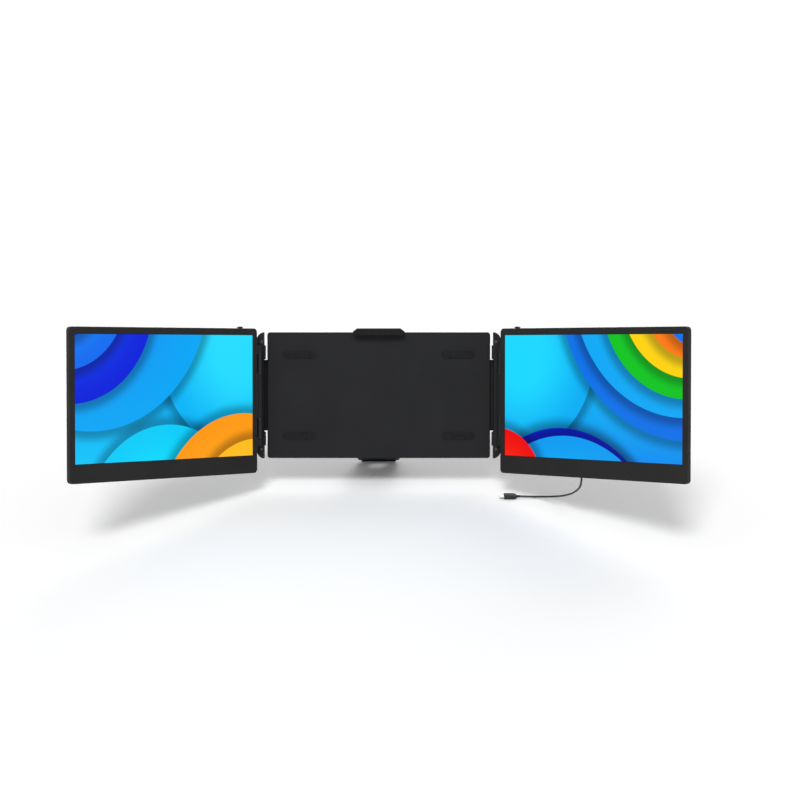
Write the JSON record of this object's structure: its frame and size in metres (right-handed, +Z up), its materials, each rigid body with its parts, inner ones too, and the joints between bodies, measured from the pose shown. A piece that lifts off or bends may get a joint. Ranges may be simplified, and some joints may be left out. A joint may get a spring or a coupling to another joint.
{
  "type": "laptop screen extender",
  "caption": "Clip-on screen extender for a laptop: a centre unit clamps behind the lid, a hinged monitor folds out on each side, and a kickstand props the back.",
  "frame": {"origin": "where the laptop lid's top edge meets the clip, on the centreline and in the middle of the lid's thickness", "axes": "+X along the width, towards the monitor on the right as the user sees it; +Z vertically up; the user looks along +Y, and the unit leans back 18 degrees with the lid"},
  "size_m": [0.781, 0.3344, 0.2868],
  "materials": {
    "soft_black": "fine-textured matte black",
    "bezel_black": "satin dark grey",
    "rubber_black": "matte",
    "steel": "bright",
    "dark_steel": "black coated",
    "screen": "glossy, dark when off",
    "board_green": "circuit board",
    "ribbon": "amber film",
    "bushing_ivory": "bearing plastic",
    "cable_grey": "satin",
    "button_black": "satin"
  },
  "bodies": {
    "centre_unit": {"centre_front_panel": "soft_black", "centre_rear_cover": "soft_black", "guide_rods": "steel", "lid_pads": "rubber_black", "rear_cover_screws": "steel", "stand_hinge_pin": "steel", "clip_spring": "steel"},
    "clip": {"top_clip": "soft_black", "top_clip_pad": "rubber_black"},
    "kickstand": {"kickstand_leg": "soft_black", "kickstand_foot": "rubber_black"},
    "left_side_bracket": {"left_bracket": "soft_black", "left_hook_pads": "rubber_black", "left_bushings": "bushing_ivory", "left_hinge_pins": "steel", "left_bracket_screws": "steel"},
    "right_side_bracket": {"right_bracket": "soft_black", "right_hook_pads": "rubber_black", "right_bushings": "bushing_ivory", "right_hinge_pins": "steel", "right_bracket_screws": "steel"},
    "left_monitor": {"left_bezel_frame": "bezel_black", "left_display_panel": "screen", "left_back_cover": "soft_black", "left_hinge_leaves": "dark_steel", "left_hinge_screws": "steel", "left_controller_board": "board_green", "left_panel_ribbon": "ribbon", "left_usb_c_sockets": "steel", "left_mini_hdmi_socket": "steel", "left_button_board": "board_green", "left_cover_screws": "steel"},
    "right_monitor": {"right_bezel_frame": "bezel_black", "right_display_panel": "screen", "right_back_cover": "soft_black", "right_hinge_leaves": "dark_steel", "right_hinge_screws": "steel", "right_controller_board": "board_green", "right_panel_ribbon": "ribbon", "right_usb_c_sockets": "steel", "right_mini_hdmi_socket": "steel", "right_button_board": "board_green", "right_cover_screws": "steel", "usb_c_cable": "cable_grey", "usb_c_plug_monitor": "cable_grey", "usb_c_plug_laptop": "cable_grey"},
    "left_button": {"left_menu_button": "button_black"},
    "right_button": {"right_menu_button": "button_black"}
  },
  "joints": [
    {"name": "left_bracket_slide", "type": "slide", "parent": "centre_unit", "child": "left_side_bracket", "axis": [-1, 0, 0], "range_m": [-0.0033, 0.028]},
    {"name": "right_bracket_slide", "type": "slide", "parent": "centre_unit", "child": "right_side_bracket", "axis": [1, 0, 0], "range_m": [-0.0033, 0.028]},
    {"name": "left_monitor_hinge", "type": "hinge", "parent": "left_side_bracket", "child": "left_monitor", "pos_m": [-0.1628, -0.04343, -0.07737], "axis": [0, 0.309, 0.9511], "range_deg": [-64.5, 135.5]},
    {"name": "right_monitor_hinge", "type": "hinge", "parent": "right_side_bracket", "child": "right_monitor", "pos_m": [0.16665, -0.03972, -0.07857], "axis": [0, -0.309, -0.9511], "range_deg": [-99.5, 135.5]},
    {"name": "clip_slide", "type": "slide", "parent": "centre_unit", "child": "clip", "axis": [0, 0.309, 0.9511], "range_m": [0, 0.02], "stiffness_N_per_m": 80, "springref_m": -0.03, "deforming": ["clip_spring"]},
    {"name": "kickstand_hinge", "type": "hinge", "parent": "centre_unit", "child": "kickstand", "pos_m": [0, -0.0319, -0.15997], "axis": [1, 0, 0], "range_deg": [-44, 102.45]},
    {"name": "left_button_press", "type": "slide", "parent": "left_monitor", "child": "left_button", "axis": [0, -0.309, -0.9511], "range_m": [0, 0.0006], "stiffness_N_per_m": 800, "springref_m": -0.001},
    {"name": "right_button_press", "type": "slide", "parent": "right_monitor", "child": "right_button", "axis": [0, -0.309, -0.9511], "range_m": [0, 0.0006], "stiffness_N_per_m": 800, "springref_m": -0.001}
  ]
}
